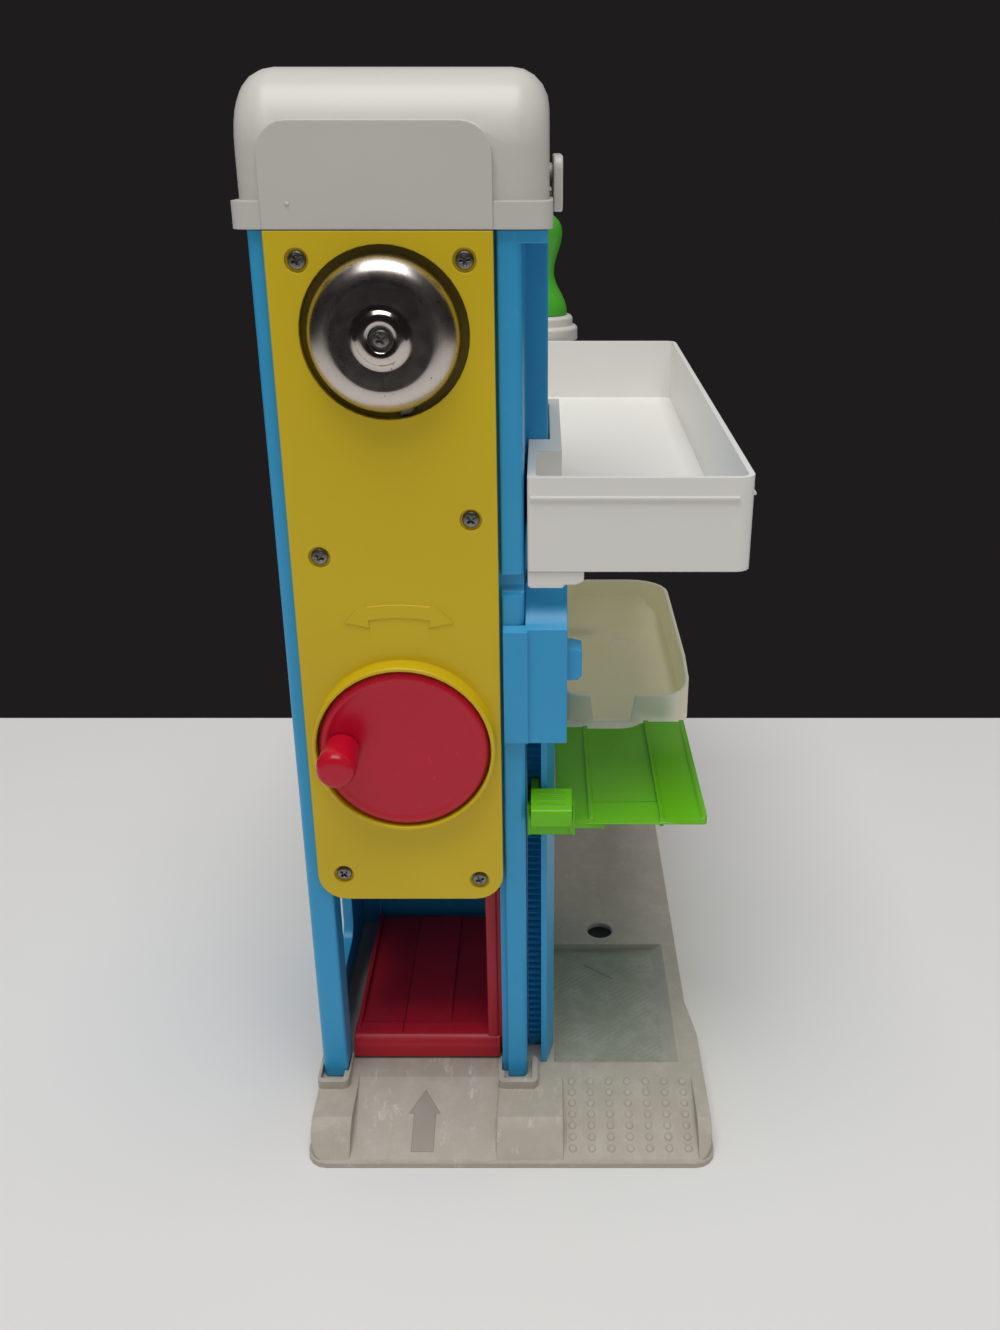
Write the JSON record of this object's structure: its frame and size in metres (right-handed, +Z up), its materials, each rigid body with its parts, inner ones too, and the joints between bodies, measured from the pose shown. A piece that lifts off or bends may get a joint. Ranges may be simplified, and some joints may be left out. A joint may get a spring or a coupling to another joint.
{
  "type": "toy garage",
  "caption": "Tower-shaped toy garage with a cranked car lift, bell, side decks and a platform that climbs a toothed rail.",
  "frame": {"origin": "centre of the bounding box in plan, at the underside of the base", "axes": "+Z up, +Y away from the crank side along the base, +X towards the decks' side, right as seen from the crank side"},
  "size_m": [0.1924, 0.42, 0.4432],
  "materials": {
    "blue_plastic": "satin moulded",
    "yellow_plastic": "satin moulded",
    "red_plastic": "glossy moulded",
    "dark_red_plastic": "satin moulded",
    "green_plastic": "satin moulded",
    "post_green_plastic": "glossy moulded",
    "white_plastic": "satin moulded",
    "grey_plastic": "matt moulded",
    "beige_plastic": "satin moulded, slightly see-through",
    "nylon_plastic": "matt moulded",
    "chrome": "bright plated",
    "zinc_steel": "zinc plated",
    "cord_fibre": "braided cord"
  },
  "bodies": {
    "garage": {"base": "grey_plastic", "left_frame": "blue_plastic", "right_frame": "blue_plastic", "back_wall": "blue_plastic", "front_panel": "yellow_plastic", "panel_screw_1": "zinc_steel", "panel_screw_2": "zinc_steel", "panel_screw_3": "zinc_steel", "panel_screw_4": "zinc_steel", "panel_screw_5": "zinc_steel", "panel_screw_6": "zinc_steel", "bell": "chrome", "bell_screw": "zinc_steel", "roof": "white_plastic", "roof_sign": "white_plastic", "upper_deck": "white_plastic", "deck_bracket": "white_plastic", "lift_rail": "blue_plastic", "rail_housing": "blue_plastic", "mid_tray": "beige_plastic", "rear_column": "blue_plastic", "post_cap": "white_plastic", "pulley_axle": "zinc_steel", "cord_front": "cord_fibre", "cord_drop": "cord_fibre"},
    "crank_unit": {"crank": "red_plastic", "knob_pin": "zinc_steel", "cord_drum": "nylon_plastic", "cord_turns": "cord_fibre"},
    "knob": {"crank_knob": "red_plastic"},
    "lift": {"elevator": "dark_red_plastic"},
    "pulley": {"top_pulley": "nylon_plastic"},
    "bell_striker": {"striker": "zinc_steel"},
    "side_lift": {"lift_platform": "green_plastic", "release_pin": "zinc_steel"},
    "release": {"lift_release": "green_plastic"},
    "post": {"turn_post": "post_green_plastic"}
  },
  "joints": [
    {"name": "crank_turn", "type": "hinge", "parent": "garage", "child": "crank_unit", "pos_m": [-0.04453, -0.1732, 0.1926], "axis": [0, 1, 0], "range_deg": [0, 872]},
    {"name": "lift_slide", "type": "slide", "parent": "garage", "child": "lift", "axis": [0, 0, 1], "range_m": [0, 0.242], "deforming": ["cord_drop"]},
    {"name": "pulley_turn", "type": "hinge", "parent": "garage", "child": "pulley", "pos_m": [-0.01113, -0.156, 0.368], "axis": [1, 0, 0], "range_deg": [0, 1985]},
    {"name": "knob_spin", "type": "hinge", "parent": "crank_unit", "child": "knob", "pos_m": [-0.06919, -0.19, 0.19389], "axis": [0, 1, 0], "continuous": true},
    {"name": "striker_swing", "type": "hinge", "parent": "garage", "child": "bell_striker", "pos_m": [-0.04453, -0.168, 0.262], "axis": [0, 1, 0], "range_deg": [-3.4, 2.6], "stiffness_Nm_per_rad": 0.06},
    {"name": "side_lift_slide", "type": "slide", "parent": "garage", "child": "side_lift", "axis": [0, 0, 1], "range_m": [-0.125, 0.022]},
    {"name": "release_tip", "type": "hinge", "parent": "side_lift", "child": "release", "pos_m": [0.01552, -0.1625, 0.157], "axis": [1, 0, 0], "range_deg": [0, 6.8], "stiffness_Nm_per_rad": 0.05, "springref_deg": -5.73},
    {"name": "post_turn", "type": "hinge", "parent": "garage", "child": "post", "pos_m": [0.01262, 0.1878, 0.32], "axis": [0, 0, 1], "continuous": true}
  ],
  "couplings": [
    {"joint": "lift_slide", "follows": "crank_turn", "m_per_rad": 0.0159},
    {"joint": "pulley_turn", "follows": "crank_turn", "ratio": 2.2714}
  ]
}
